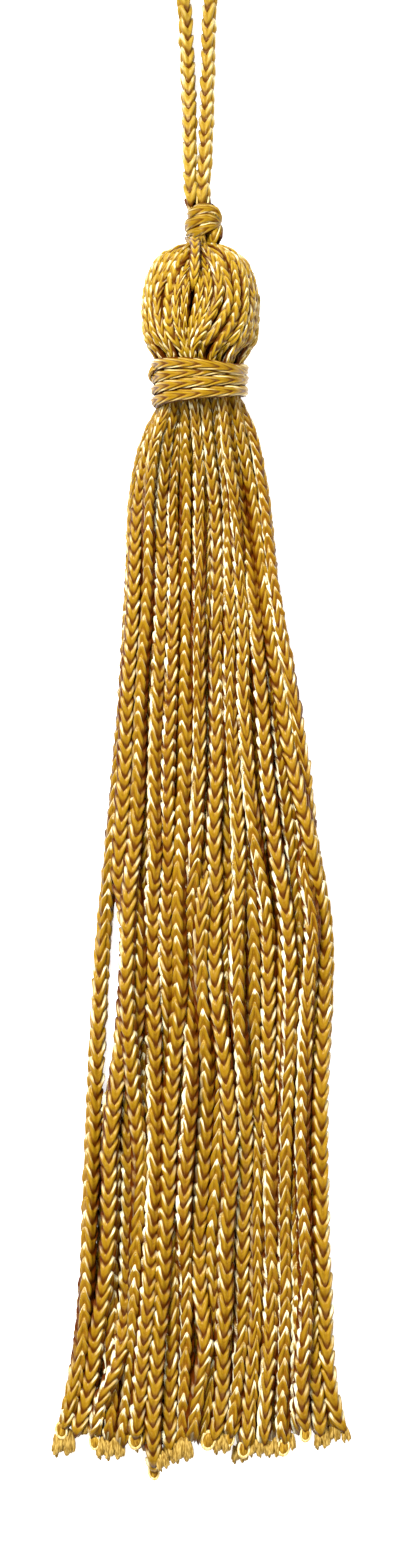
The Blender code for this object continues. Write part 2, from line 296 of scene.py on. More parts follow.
# %% [markdown]
# ### The bend
# Hand-worked cord is never quite regular, so a few slow waves swell it and slip its stitches. Each point
# also keeps how high it lies in its cord and on which side, because the silk gets painted shade down between
# cords and a thin painted highlight along some of their edges. Where a cord rests on the table, its underside
# is pressed flat.

# %% Bend a cord along its line
UP = (0, 0, 1)
CLOSED = (0.0, 0.0)  # how open the space beside a cord is, on its left and on its right
TABLE_TOP = 0.01 * MM
SWELL = 0.03  # of the radius, for each wave
SLIP = 0.06 * MM
WAVES = 6
WAVE_LENGTHS = (1.5 * MM, 6.0 * MM)
STILL_END = 1.0 * MM  # no stitch slips nearer to the ends


def knit_cord(name, course, points, facing, turns, widths, heights, pitch=STITCH, open_sides=CLOSED):
    """A closed cord along points, whose first V column looks to the facing side."""
    points = np.asarray(points, dtype=float)
    marks = distances(points)
    stitches_at = np.cumsum(np.diff(marks, prepend=0.0) / np.broadcast_to(pitch, len(points)))
    stitches = max(2, round(stitches_at[-1]))
    stitches_at *= stitches / stitches_at[-1]
    cord = repeat_course(name, course, stitches)
    x, y, z = read_points(cord.data).T
    mark = np.interp((x - x.min()) / (x.max() - x.min()) * stitches, stitches_at, marks)
    tangents = np.gradient(points, axis=0)
    tangents /= np.linalg.norm(tangents, axis=1)[:, None]
    sides = np.cross(np.broadcast_to(facing, points.shape), tangents)
    sides /= np.linalg.norm(sides, axis=1)[:, None]
    ups = np.cross(tangents, sides)

    around = np.arctan2(z, y)
    swell, slip = np.zeros_like(x), np.zeros_like(x)
    for wave in range(WAVES):  # each one winds round the cord in its own way
        length = unevenness.uniform(*WAVE_LENGTHS)
        phase = unevenness.uniform(0.0, math.tau)
        ripple = np.sin(math.tau * mark / length + (wave % 5 - 2) * around + phase)
        swell += SWELL * ripple
        slip += SLIP * ripple * (1.0 if wave % 2 else -1.0)
    mark += slip * ease(mark, 0.0, STILL_END) * ease(mark, marks[-1], marks[-1] - STILL_END)

    def at_mark(values):
        """Values for each point of the line, or one for all, read for each point of the cord."""
        if np.ndim(values) == 2:
            return read_line(mark, marks, values)
        return np.interp(mark, marks, np.broadcast_to(values, len(points)))

    turn = at_mark(turns)
    sideways = (y * np.cos(turn) - z * np.sin(turn)) * (1.0 + swell)
    raised = (y * np.sin(turn) + z * np.cos(turn)) * (1.0 + swell)
    bent = at_mark(points) + at_mark(sides) * (sideways * at_mark(widths))[:, None]
    bent += at_mark(ups) * (raised * at_mark(heights))[:, None]
    bent[:, 2] = np.maximum(bent[:, 2], TABLE_TOP)
    cord.data.vertices.foreach_set("co", bent.ravel())
    side = sideways / np.hypot(sideways, raised)
    # An open side raises the height, so the painted shade between cords is left out there.
    height = raised / CORD_RADIUS + np.where(side < 0.0, at_mark(open_sides[0]), at_mark(open_sides[1]))
    for attribute_name, values in (("height_in_cord", height), ("side_of_cord", side)):
        cord.data.attributes.new(attribute_name, "FLOAT", "POINT").data.foreach_set("value", values)
    cord.data.update()
    close_ends()
    return cord


def join(name, cords, material=None):
    """Make several cords one piece, at the origin, and with one finish if it is given."""
    pick(*cords)
    bpy.ops.object.transform_apply()
    if len(cords) > 1:
        bpy.ops.object.join()
    piece = bpy.context.object
    piece.name = name
    piece.data.name = name
    if material:
        piece.data.materials.clear()
        piece.data.materials.append(material)
    print(name, "has", sum(len(face.vertices) - 2 for face in piece.data.polygons), "triangles")
    return piece


# %% [markdown]
# ## Silk
# Rayon silk is smooth and shines along its filaments. The colour sits deep in the grooves, where light has
# been through gold many times, and the turned rims of the legs catch pale lights. Both are painted into the
# colour: painted shade in the grooves and painted highlights on the rims. The course's UV map runs across
# each leg and along it, so one shader can paint all of that by arithmetic. To keep that arithmetic easy to
# read, an `Output` stands for the output of a node, and it adds, subtracts and multiplies as a number does,
# with one more node each time.

# %% Node tools
SILK_SPECULAR = 0.25


def plug(value, socket):
    """Set a socket to a plain value, or link an output to it."""
    if isinstance(value, Output):
        socket.id_data.links.new(value.socket, socket)
    else:
        socket.default_value = value


def set_inputs(node, inputs):
    for name, value in inputs.items():
        plug(value, node.inputs[name])


def add_node(tree, kind, inputs=None, output=0, **settings):
    """One of the outputs of a new node, which gets its settings first and then its inputs."""
    node = tree.nodes.new("ShaderNode" + kind)
    for name, value in settings.items():
        setattr(node, name, value)
    set_inputs(node, inputs or {})
    return Output(node.outputs[output])


class Output:
    """The output of a node."""

    def __init__(self, socket):
        self.socket = socket
        self.tree = socket.id_data

    def compute(self, operation, other=0.0, swapped=False):
        first, second = (other, self) if swapped else (self, other)
        return add_node(self.tree, "Math", {0: first, 1: second}, operation=operation)

    def __add__(self, other):
        return self.compute("ADD", other)

    def __sub__(self, other):
        return self.compute("SUBTRACT", other)

    def __rsub__(self, other):
        return self.compute("SUBTRACT", other, swapped=True)

    def __mul__(self, other):
        return self.compute("MULTIPLY", other)


def ramp(value, start, end):
    """A smooth step from 0 at start to 1 at end."""
    inputs = {"Value": value, "From Min": start, "From Max": end}
    return add_node(value.tree, "MapRange", inputs, interpolation_type="SMOOTHSTEP")


def mix(factor, first, second):
    """The first colour where the factor is 0, and the second one where it is 1."""
    inputs = {"Factor": factor, "A": first, "B": second}
    return add_node(factor.tree, "Mix", inputs, "Result", data_type="RGBA")


def noise(vector, scale, detail=2.0):
    return add_node(vector.tree, "TexNoise", {"Vector": vector, "Scale": scale, "Detail": detail}, "Fac")


def stretched_noise(vector, scales):
    """Noise with a scale of its own along each axis."""
    scaled = add_node(vector.tree, "VectorMath", {0: vector, 1: scales}, operation="MULTIPLY")
    return noise(scaled, 1.0)


def new_material(name, **inputs):
    """A material, and its shader with these inputs, whose names have _ for a space."""
    material = bpy.data.materials.new(name)
    material.use_nodes = True
    shader = material.node_tree.nodes["Principled BSDF"]
    set_inputs(shader, {key.replace("_", " "): value for key, value in inputs.items()})
    return material, shader


def new_silk(name, roughness, gloss_colour):
    return new_material(
        name, Roughness=roughness, Specular_IOR_Level=SILK_SPECULAR, Specular_Tint=gloss_colour
    )


print("node tools:", [tool.__name__ for tool in (add_node, ramp, mix, noise, stretched_noise)])

# %% [markdown]
# ### Filaments, rims, pits and gaps
# The body colour streaks along the filaments and darkens towards the lower edge of each leg, as painted
# shade. A painted highlight follows the leg's upper edge, and another marks the turn at its top. The foot of
# the V is painted dark as shade, and so is the space down between neighbouring cords. A thin painted
# highlight runs beside that dark on one side of some cords. Every cord also has a small change of tone.

# %% The silk material
# The colours of the painted shade in the foot of each V and down between cords.
PIT_SHADE_COLOUR = (0.06, 0.01, 0.0001, 1.0)
GAP_SHADE_COLOUR = (0.08, 0.014, 0.0001, 1.0)
FILAMENT_SCALES = (16.0, 1.6, 1.0)  # of the noise across a leg, along it
FILAMENT_RELIEF = 0.03 * MM
STREAK = 1.2  # how strongly the filaments, the cord's own tone and a small unevenness show
TONE = 0.4
WANDER = 0.16


def silk(
    name, body_colour, groove_shade_colour, highlight_colour,
    groove_shade_start, pit_shade_depth, gap_shade_start, gap_shade_depth, edge_highlight_strength, rim_highlight_width=0.22,
):
    """Knitted silk: body colour, painted shade and highlight colours, and how strong each painted mark is."""
    material, shader = new_silk(name, roughness=0.32, gloss_colour=(1.0, 0.78, 0.36, 1.0))
    tree = material.node_tree
    stitch_map = add_node(tree, "UVMap", output="UV")
    u, v = [add_node(tree, "SeparateXYZ", {0: stitch_map}, axis) for axis in "XY"]
    over_leg = u.compute("FRACT") + (noise(stitch_map, 3.0, 1.0) - 0.5) * WANDER  # 0 at the upper edge
    along_leg = v.compute("PINGPONG", 1.0)  # from 0 at the foot of the V to 1 at its top
    filaments = stretched_noise(stitch_map, FILAMENT_SCALES)
    streak = (filaments - 0.5) * STREAK
    # How strong the painted highlights are, streaked along the filaments and uneven from place to place.
    shine = streak + ramp(noise(stitch_map, 0.9), 0.38, 0.7)
    cord_number = v.compute("DIVIDE", 2.0 * LEG_COLUMNS).compute("FLOOR")
    cord_tone = add_node(tree, "TexWhiteNoise", {"W": cord_number}, "Value", noise_dimensions="1D")

    # Painted shade towards each leg's lower edge and the foot of the V, with the filament streaks and the
    # cord's own tone.
    groove_shade_and_tone = ramp(over_leg, groove_shade_start, groove_shade_start + 0.5) * 0.7 + ramp(along_leg, 0.35, 0.0) * 0.4
    groove_shade_and_tone = groove_shade_and_tone + streak + (cord_tone - 0.6) * TONE
    # Painted shade in the foot of the V.
    pit_shade = ramp(over_leg, 0.45, 0.8) * ramp(along_leg, 0.75, 0.3) * pit_shade_depth
    # Painted highlights: a rim along each leg's upper edge and a cap on the turn at its top.
    rim = ramp(over_leg, rim_highlight_width, 0.1) * ramp(over_leg, 0.0, 0.04) * ramp(along_leg, 0.2, 0.7)
    cap_highlight = ramp(along_leg, 0.86, 0.94) * ramp(over_leg, 0.5, 0.3)
    painted_highlight = rim.compute("MAXIMUM", cap_highlight) * shine

    side = add_node(tree, "Attribute", output="Fac", attribute_name="side_of_cord")
    height = add_node(tree, "Attribute", output="Fac", attribute_name="height_in_cord")
    # A thin painted highlight beside the dark between cords, on one side of some cords.
    edge = ramp(side, -0.62, -0.72) * ramp(side, -0.94, -0.86) * ramp(cord_tone, 0.25, 0.5)
    edge = edge * shine * edge_highlight_strength
    # Painted shade down between neighbouring cords, left out under the edge highlight.
    gap_shade = ramp(height, gap_shade_start, gap_shade_start - 0.45) * gap_shade_depth * (1.0 - edge)

    # The body colour, with the painted shade and the painted highlights laid over it.
    colour = mix(groove_shade_and_tone, body_colour, groove_shade_colour)
    for amount, mark_colour in (
        (pit_shade, PIT_SHADE_COLOUR), (painted_highlight, highlight_colour), (edge, highlight_colour), (gap_shade, GAP_SHADE_COLOUR)
    ):
        colour = mix(amount, colour, mark_colour)
    relief = {"Strength": 0.5, "Distance": FILAMENT_RELIEF, "Height": filaments}
    set_inputs(shader, {"Base Color": colour, "Normal": add_node(tree, "Bump", relief, "Normal")})
    return material


# %% The five silks
skirt_silk = silk(
    "skirt silk", (0.292, 0.156, 0.005, 1.0), (0.145, 0.041, 0.0002, 1.0), (0.92, 0.85, 0.54, 1.0),
    groove_shade_start=0.3, pit_shade_depth=0.85, gap_shade_start=0.68, gap_shade_depth=1.0, edge_highlight_strength=2.0, rim_highlight_width=0.24,
)
head_silk = silk(
    "head silk", (0.36, 0.213, 0.008, 1.0), (0.145, 0.048, 0.0003, 1.0), (0.92, 0.84, 0.52, 1.0),
    groove_shade_start=0.34, pit_shade_depth=0.6, gap_shade_start=0.72, gap_shade_depth=0.97, edge_highlight_strength=1.2,
)
binding_silk = silk(
    "binding silk", (0.315, 0.175, 0.005, 1.0), (0.14, 0.048, 0.0003, 1.0), (0.8, 0.68, 0.34, 1.0),
    groove_shade_start=0.4, pit_shade_depth=0.7, gap_shade_start=0.66, gap_shade_depth=0.95, edge_highlight_strength=0.6,
)
knot_silk = silk(
    "knot silk", (0.3, 0.172, 0.007, 1.0), (0.155, 0.058, 0.0003, 1.0), (0.87, 0.76, 0.42, 1.0),
    groove_shade_start=0.4, pit_shade_depth=0.4, gap_shade_start=0.7, gap_shade_depth=1.0, edge_highlight_strength=1.0,
)
loop_silk = silk(
    "loop silk", (0.352, 0.222, 0.019, 1.0), (0.175, 0.068, 0.0003, 1.0), (0.88, 0.8, 0.5, 1.0),
    groove_shade_start=0.42, pit_shade_depth=0.85, gap_shade_start=0.58, gap_shade_depth=0.3, edge_highlight_strength=0.0, rim_highlight_width=0.6,
)
for material in (skirt_silk, head_silk, binding_silk, knot_silk, loop_silk):
    print(material.name, "has", len(material.node_tree.nodes), "nodes")

# %% [markdown]
# ## Hanging loop
# One cord leaves the knot, runs up, turns round and comes back into the knot. It hangs limp, and once it
# has come down from the knot it lies on the table. It is made first, because its route has to agree with
# the frame's own solid.

# %% The loop's route and cord
LOOP_ROUTE = (
    # across, along and height, from the knot up the left leg, over the top and down the right leg
    (-1.0, 72.0, 5.55), (-1.15, 73.4, 5.5), (-1.28, 76.0, 5.3), (-1.34, 79.0, 4.5), (-1.42, 83.5, 2.8),
    (-1.56, 88.0, 1.4), (-1.74, 92.0, 0.92), (-1.98, 96.0, 0.82), (-2.55, 99.5, 0.82), (-3.4, 102.4, 0.82),
    (-3.8, 105.4, 0.82), (-2.8, 107.8, 0.82), (-0.4, 108.8, 0.82),
    (2.0, 107.8, 0.82), (3.0, 105.4, 0.82), (2.4, 102.4, 0.82), (1.45, 99.5, 0.82), (0.94, 96.0, 0.82),
    (0.82, 92.0, 0.92), (0.72, 88.0, 1.4), (0.62, 83.5, 2.8), (0.48, 79.0, 4.5), (0.28, 76.0, 5.4),
    (0.2, 73.4, 5.7), (0.25, 72.0, 5.7),
)
LOOP_SPACING = 0.4 * MM
LEFT_TURNS = (-0.55, 0.35)  # at the loop's top and at the knot
RIGHT_TURN = 0.45
ROUTE_STEPS = 39


def loop_leg(name, points, turn):
    """One leg of the loop, knitted from the loop's top downwards."""
    return knit_cord(name, loop_course, points, UP, turn, widths=0.92, heights=0.92, pitch=1.72 * MM)


loop_points = evenly(np.array(LOOP_ROUTE) * MM, LOOP_SPACING)
loop_length = float(distances(loop_points)[-1])
middle = int(np.argmax(loop_points[:, 1]))
down_left = loop_points[middle + 1::-1]
down_right = loop_points[middle - 1:]
left_turn = blend(*LEFT_TURNS, ease(np.linspace(0.0, 1.0, len(down_left)), 0.3, 0.9))
legs = [loop_leg("left leg", down_left, left_turn), loop_leg("right leg", down_right, RIGHT_TURN)]
loop = join("loop_cord", legs, loop_silk)
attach(loop, "root")
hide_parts("hanging_loop")
route = [tuple(point) for point in evenly(loop_points, loop_length / ROUTE_STEPS).tolist()]
print("loop length, mm:", round(loop_length / MM, 1))

# %% [markdown]
# ## Skirt
# About forty strands leave the neck in a round bundle, open into a fan and come to rest on the table in
# layers. Laying each one by hand would leave gaps and clashes. So the strands that show are given marks to
# pass through, read with a ruler across the skirt, and the rest fill the bed below. Then the bundle is
# settled: strands that touch push each other aside, they sink, and each one stays smooth.

# %% Marks for the strands that show
RULER = 0.114 * MM
AXIS_MARK = 201.5
TOP_MARK = 841.5
TABLE_STRETCH = 1.006  # parts near the table are further from the camera than the ruler's own height
STATIONS = (395, 415, 450, 500, 587, 705, 773, 850, 925, 1000, 1078, 1144, 1194, 1245, 1290, 1340, 1400)
STRANDS = (
    # rank, the mark where a V faces up, the end's marks across and along, then a mark across at each station
    (2, 1144, 62, 1431, 153, 152, 142, 134, 131, 124, 118, 111, 104, 99, 95, 92, 90, 88, 86, 82, 72),
    (2, 705, 72, 1436, 158, 157, 147, 140, 134, 127, 125, 124, 128, 126, 117, 110, 110, 109, 106, 97, 84),
    (2, 1194, 94, 1438, 160, 160, 156, 150, 141, 133, 129, 128, 131, 130, 127, 127, 128, 128, 128, 124, 103),
    (1, 1330, 107, 1441, 160, 160, 156, 150, 141, 133, 128, 126, 130, 128, 120, 114, 113, 112, 110, 110, 110),
    (3, 925, 120, 1446, 164, 163, 154, 149, 147, 138, 136, 131, 128, 127, 132, 141, 144, 141, 139, 134, 129),
    (1, 800, 147, 1446, 168, 167, 160, 155, 154, 148, 146, 143, 140, 139, 142, 147, 148, 147, 147, 147, 146),
    (3, 960, 136, 1438, 171, 170, 165, 161, 162, 157, 157, 157, 152, 154, 154, 155, 153, 149, 147, 144, 141),
    (1, 1078, 159, 1446, 177, 178, 176, 172, 174, 171, 167, 167, 164, 166, 164, 161, 159, 157, 155, 155, 156),
    (3, 1110, 154, 1472, 184, 186, 186, 187, 188, 187, 187, 182, 176, 177, 171, 168, 165, 160, 157, 155, 153),
    (1, 600, 168, 1452, 188, 190, 190, 192, 193, 191, 190, 187, 183, 181, 179, 177, 175, 171, 171, 171, 170),
    (3, 1170, 182, 1448, 192, 194, 198, 199, 200, 198, 197, 194, 189, 190, 191, 187, 184, 182, 183, 184, 183),
    (2, 1250, 190, 1440, 199, 201, 203, 206, 206, 204, 203, 204, 201, 201, 206, 204, 201, 198, 203, 208, 197),
    (3, 587, 209, 1440, 204, 206, 209, 213, 214, 216, 216, 213, 213, 218, 226, 231, 229, 225, 226, 222, 218),
    (1, 900, 201, 1443, 210, 212, 214, 219, 222, 222, 224, 227, 223, 222, 219, 216, 214, 212, 213, 212, 207),
    (3, 1194, 228, 1438, 215, 217, 221, 228, 232, 229, 233, 239, 237, 238, 243, 246, 246, 245, 242, 239, 236),
    (3, 1040, 264, 1445, 220, 222, 226, 233, 240, 244, 248, 256, 264, 268, 271, 271, 270, 271, 270, 268, 265),
    (1, 700, 244, 1449, 222, 224, 226, 231, 234, 236, 240, 247, 252, 252, 254, 258, 259, 258, 259, 255, 250),
    (3, 800, 283, 1446, 225, 227, 232, 240, 251, 262, 267, 276, 287, 290, 287, 285, 284, 285, 286, 284, 283),
    (1, 640, 299, 1434, 230, 232, 240, 248, 258, 276, 284, 295, 298, 297, 296, 294, 294, 295, 296, 297, 299),
    (3, 700, 345, 1434, 234, 237, 244, 253, 265, 287, 297, 312, 325, 325, 321, 320, 321, 322, 325, 326, 332),
    (2, 1240, 305, 1432, 243, 248, 257, 267, 279, 298, 307, 309, 313, 307, 303, 300, 302, 304, 306, 303, 300),
    (1, 1220, 321, 1436, 238, 241, 250, 262, 272, 291, 300, 305, 309, 309, 309, 310, 312, 313, 315, 316, 319),
)
OUTER_RIGHT = 19  # the strand at the right edge, and the first strand is at the left edge
BED_STRANDS = 19
BED_ENDS = (
    # mark across, mark along
    (60, 1436), (72, 1420), (86, 1422), (95, 1444), (120, 1448), (150, 1449), (170, 1450), (195, 1444),
    (210, 1440), (235, 1445), (262, 1447), (285, 1444), (303, 1428), (313, 1416), (325, 1436), (345, 1430),
)
EDGES = (
    # the bed's left and right side at each station
    (152, 149, 139, 131, 127, 117, 111, 112, 119, 116, 106, 94, 86, 80, 76, 72, 60),
    (250, 253, 262, 271, 281, 302, 312, 321, 331, 332, 328, 327, 328, 329, 331, 333, 342),
)
SLIT = (
    # mark along, then the two sides of the gap that the first strand leaves beside it
    (905, 115, 118), (925, 113, 119), (950, 111, 119), (1000, 107, 116), (1050, 103, 112), (1085, 103, 106),
)
STRAND_RADIUS = (
    # mark along, radius in mm
    (395, 0.6), (450, 0.7), (500, 0.8), (587, 0.86), (705, 0.93), (850, 1.0), (1000, 1.04), (1500, 1.02),
)
print(len(STRANDS), "strands show and", BED_STRANDS, "lie in the bed")

# %% [markdown]
# ### The bundle
# The strands start inside the binding, packed into an oval, and are let go below it. Those that show start
# on their marks, in the layers that their ranks say, and the bed is spread out between its two sides.

# %% Lay the bundle
AXIS_X = -0.1 * MM
AXIS_Z = 5.55 * MM
NECK_HALF = 4.5 * MM
THICKNESS_SHARE = 0.885  # how thick the neck, the head and the binding are, for their width
FIRST_MARK, LAST_MARK = 376.0, 1479.0
SECTION = 1.25 * MM
LOWERED = (420.0, 800.0)  # the marks between which the strands come down to the table
HELD = (396.0, 414.0)  # where the binding lets them go
FREE = (405.0, 520.0)  # where their own weight takes over
NECK_BED = -0.8  # how high the bed lies in the neck, of its half thickness
LAYER_RISE = 0.825  # of a strand's radius, for each rank
UNEVEN_LAY = 0.05 * MM
UNEVEN_ENDS = 6.0  # marks
BED_PLACES = 0.01  # how far a bed strand may lie off its place, of the skirt's width
BED_FACES_UP = (500.0, 1400.0)

rng = np.random.default_rng(7)
marks = np.arange(FIRST_MARK, LAST_MARK, SECTION / RULER)
along = (TOP_MARK - marks) * RULER
along = VIEW_MIDDLE[1] + (along - VIEW_MIDDLE[1]) * blend(1.0, TABLE_STRETCH, ease(marks, *LOWERED))
radius = table(STRAND_RADIUS, marks) * MM
left, right = [(smooth_line(STATIONS, edge, marks) - AXIS_MARK) * RULER for edge in EDGES]
laid = []
for rank, face_mark, end_across, end_along, *across in STRANDS:
    line = smooth_line((*STATIONS, end_along), (*across, end_across), marks)
    laid.append(((line - AXIS_MARK) * RULER, rank, end_along, face_mark))
for number in range(BED_STRANDS):
    share = (number + 0.5) / BED_STRANDS
    line = blend(left + radius, right - radius, share + rng.uniform(-BED_PLACES, BED_PLACES))
    end = table(BED_ENDS, blend(BED_ENDS[0][0], BED_ENDS[-1][0], share)) - rng.uniform(0.0, UNEVEN_ENDS)
    laid.append((line, 0 if number % 2 else -1, end, rng.uniform(*BED_FACES_UP)))
wanted_x, ranks, ends, faces_up = [np.array(column) for column in zip(*laid)]
rank = ranks[:, None]
present = marks <= ends[:, None] + SECTION / RULER
held = 1.0 - ease(marks, *HELD)
free = ease(marks, *FREE)

neck_room = np.sqrt(np.clip(1.0 - ((wanted_x - AXIS_X) / NECK_HALF) ** 2, 0.04, 1.0))
neck_room *= NECK_HALF * THICKNESS_SHARE
neck_z = AXIS_Z + neck_room * np.where(rank < 0, NECK_BED, np.clip((rank + 0.2) / 3.2, -1.0, 1.0))
fan_z = radius * (1.0 + LAYER_RISE * (rank + 1.0))
x = wanted_x.copy()
z = blend(neck_z, fan_z, free) + rng.uniform(-UNEVEN_LAY, UNEVEN_LAY, (len(laid), 1))

print(len(laid), "strands laid, each read at", len(marks), "marks")

# %% [markdown]
# ### Settling
# A strand is soft but springy. So in each of many turns every strand sinks a little, is drawn back to its
# marks, is pushed off any strand that it overlaps, and is smoothed along its length. The strand at the left
# edge keeps its gap, where the table shows through.

# %% Settle the bundle
SETTLING_TURNS = 260
SINKING = 0.03 * MM
FIRM_SHOWN, FIRM_BED = 0.12, 0.02  # how strongly a strand is drawn back to its marks
CLOSENESS = 0.84  # silk gives way, so neighbours lie this near for their width
PUSH = 0.3
STIFFNESS = 0.3
PRESSED = 0.93  # how high a strand lies on the table, for its radius
TINY = 1e-9

slit_marks, *slit_sides = np.transpose(SLIT)
beside_slit = (marks >= slit_marks[0]) & (marks <= slit_marks[-1])
slit_left, slit_right = [(np.interp(marks, slit_marks, side) - AXIS_MARK) * RULER for side in slit_sides]
far_left = np.minimum(left, wanted_x[0] - radius) + radius
far_right = np.maximum(right, wanted_x[OUTER_RIGHT] + radius) - radius
neck_width = NECK_HALF - radius
neck_thickness = NECK_HALF * THICKNESS_SHARE - radius
both = present[:, None, :] & present[None, :, :] & ~np.eye(len(laid), dtype=bool)[:, :, None]
firm = np.where(rank > 0, FIRM_SHOWN, FIRM_BED)
for turn in range(SETTLING_TURNS):
    z -= SINKING * free
    x += (wanted_x - x) * firm
    dx = x[:, None, :] - x[None, :, :]
    dz = z[:, None, :] - z[None, :, :]
    distance = np.sqrt(dx * dx + dz * dz) + TINY
    push = np.where(both, np.clip(CLOSENESS * 2.0 * radius - distance, 0.0, None), 0.0) / distance * PUSH
    x += (dx * push).sum(axis=1)
    z += (dz * push).sum(axis=1)
    from_axis = np.hypot((x - AXIS_X) / neck_width, (z - AXIS_Z) / neck_thickness)
    excess = np.clip(from_axis - 1.0, 0.0, None) / np.maximum(from_axis, TINY) * held
    x -= (x - AXIS_X) * excess
    z -= (z - AXIS_Z) * excess
    x[0] = np.where(beside_slit, np.minimum(x[0], slit_left - radius), x[0])
    x[1:] = np.where(beside_slit, np.maximum(x[1:], slit_right + radius), x[1:])
    x = blend(np.clip(x, far_left, far_right), x, held)
    z = np.maximum(z, PRESSED * radius)
    for values, base in ((x, wanted_x), (z, 0.0)):
        bend = values - base
        bend[:, 1:-1] += STIFFNESS * (bend[:, :-2] + bend[:, 2:] - 2.0 * bend[:, 1:-1])
        values[:] = bend + base
print("highest strand, mm:", round(float((z + radius)[present].max() / MM), 2))

# %% [markdown]
# ### The strands
# Each settled line becomes a knitted cord. No two lie alike, so each one gets its own start, its own pull
# and its own slow turn, and its V's face up where the marks say. The strands that show are knitted fine,
# the bed is knitted with few faces, and they are joined into a few pieces.

# %% Knit the strands
SIDES_UP = (0.0, 0.0, 0.45, -0.45, 0.95)  # turns in radians: a V column up, one of its legs, or its rims
TWIST = 0.0072  # radians for each mark, at most
WAG = 0.25  # radians, and how many marks each of its waves takes
WAG_LENGTH = 60.0
END_SIZE = 0.6  # of the radius, at the cut end
END_TAPER = 9.0  # marks
PULL = (0.95, 1.04)  # of a stitch, loosest and tightest
TAPERED_STITCH = 0.35
FLATNESS = 0.96
OPEN_SPACE = 0.6 * MM  # a strand's side counts as open where its neighbour is this far off
PIECE_STRANDS = 7  # how many strands go into a piece
side_picker = np.random.default_rng(8)
pieces = {}
for number, end in enumerate(ends):
    last = int(np.argmax(marks > end)) if (marks > end).any() else len(marks)
    first = marks[0] + rng.uniform(0.0, STITCH / RULER)
    line_marks = np.concatenate([[first], marks[2:last], [end]])
    points = read_line(line_marks, marks, np.stack([x[number], along, z[number]], axis=1))
    size = np.interp(line_marks, marks, radius) / CORD_RADIUS
    size *= blend(END_SIZE, 1.0, ease(end - line_marks, 0.0, END_TAPER))
    turns = (line_marks - faces_up[number]) * rng.uniform(-TWIST, TWIST)
    turns += WAG * np.sin(line_marks / WAG_LENGTH + rng.uniform(0.0, 6.0)) + side_picker.choice(SIDES_UP)
    course = fine_course if ranks[number] > 0 else plain_course
    pitch = STITCH * rng.uniform(*PULL) * blend(TAPERED_STITCH, 1.0, size)
    # A side counts as open where no neighbour lies near, and at the end and the neck; there the painted shade
    # between strands is left out.
    beside = np.where(present & (np.abs(z - z[number]) < 3.0 * radius), x - x[number], np.inf)
    beside[number] = np.inf
    space_left = np.abs(np.where(beside < 0.0, beside, -np.inf)).min(axis=0) - 2.0 * radius
    space_right = np.where(beside > 0.0, beside, np.inf).min(axis=0) - 2.0 * radius
    bare = np.maximum(ease(end - line_marks, 12.0, 3.0), ease(line_marks, 500.0, 430.0))  # end and neck
    open_sides = []
    for space in (space_left, space_right):
        open_here = np.interp(line_marks, marks, ease(space, 0.0, OPEN_SPACE))
        open_sides.append(np.maximum(open_here, bare))
    cord = knit_cord("strand", course, points, UP, turns, size, size * FLATNESS, pitch, open_sides)
    key = "bed" if ranks[number] < 1 else "front_%d" % (number // PIECE_STRANDS)
    pieces.setdefault(key, []).append(cord)
for key, cords in pieces.items():
    piece = join("skirt_" + key, cords, skirt_silk)
    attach(piece, "root")
    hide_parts("head_and_skirt")

# %% [markdown]
# ## Ends
# Each strand is cut across its stitches. Where the last stitch holds, its yarn shows as a round loop with
# the strand's end inside it. Where it has come undone, the filaments spread in a small brush. Both could be
# bent from the cord itself, but here the yarn has left the stitch, so they are parts of their own. The loop
# is a flat ring round a soft pad, and the brush is a fan of long drops. One of each is modelled first.

# %% Silk for the small parts
SATIN_SCALES = (7000.0, 1200.0, 3000.0)  # of the noise across, along and through the filaments


def satin(name, dark_colour, light_colour):
    """A plain silk for small parts, streaked along the strand."""
    material, shader = new_silk(name, roughness=0.38, gloss_colour=(1.0, 0.75, 0.3, 1.0))
    place = add_node(material.node_tree, "TexCoord", output="Object")
    streaks = ramp(stretched_noise(place, SATIN_SCALES), 0.33, 0.72)
    set_inputs(shader, {"Base Color": mix(streaks, dark_colour, light_colour)})
    return material


# The ring's silk is paler than the strand's own colour, as a painted highlight on the thin yarn.
ring_highlight_silk = satin("rim silk", (0.5, 0.32, 0.06, 1.0), (0.9, 0.76, 0.42, 1.0))
end_silk = satin("end silk", (0.16, 0.065, 0.002, 1.0), (0.42, 0.24, 0.02, 1.0))
brush_silk = satin("brush silk", (0.2, 0.105, 0.01, 1.0), (0.56, 0.37, 0.09, 1.0))
print("small parts:", [material.name for material in (ring_highlight_silk, end_silk, brush_silk)])

# %% One loop
LOOP_HALF = 0.62 * MM
YARN_RADIUS = 0.15 * MM
PAD_HALF = 0.58 * MM
PAD_THICKNESS = 0.5  # of its width
LOOP_LENGTH = 1.45  # of its width
ring = add_shape(
    bpy.ops.mesh.primitive_torus_add,
    major_segments=20, minor_segments=8, major_radius=LOOP_HALF, minor_radius=YARN_RADIUS,
)
ring.data.materials.append(ring_highlight_silk)
pad = add_shape(bpy.ops.mesh.primitive_uv_sphere_add, segments=12, ring_count=8, radius=PAD_HALF)
pad.scale.z = PAD_THICKNESS
pad.data.materials.append(end_silk)
loop_end = join("loop_end", [ring, pad])
bpy.ops.object.mode_set(mode="EDIT")
bpy.ops.mesh.select_all(action="SELECT")
bpy.ops.transform.resize(value=(1.0, LOOP_LENGTH, 1.0), center_override=(0.0, 0.0, 0.0))
bpy.ops.mesh.faces_shade_smooth()
bpy.ops.object.mode_set(mode="OBJECT")

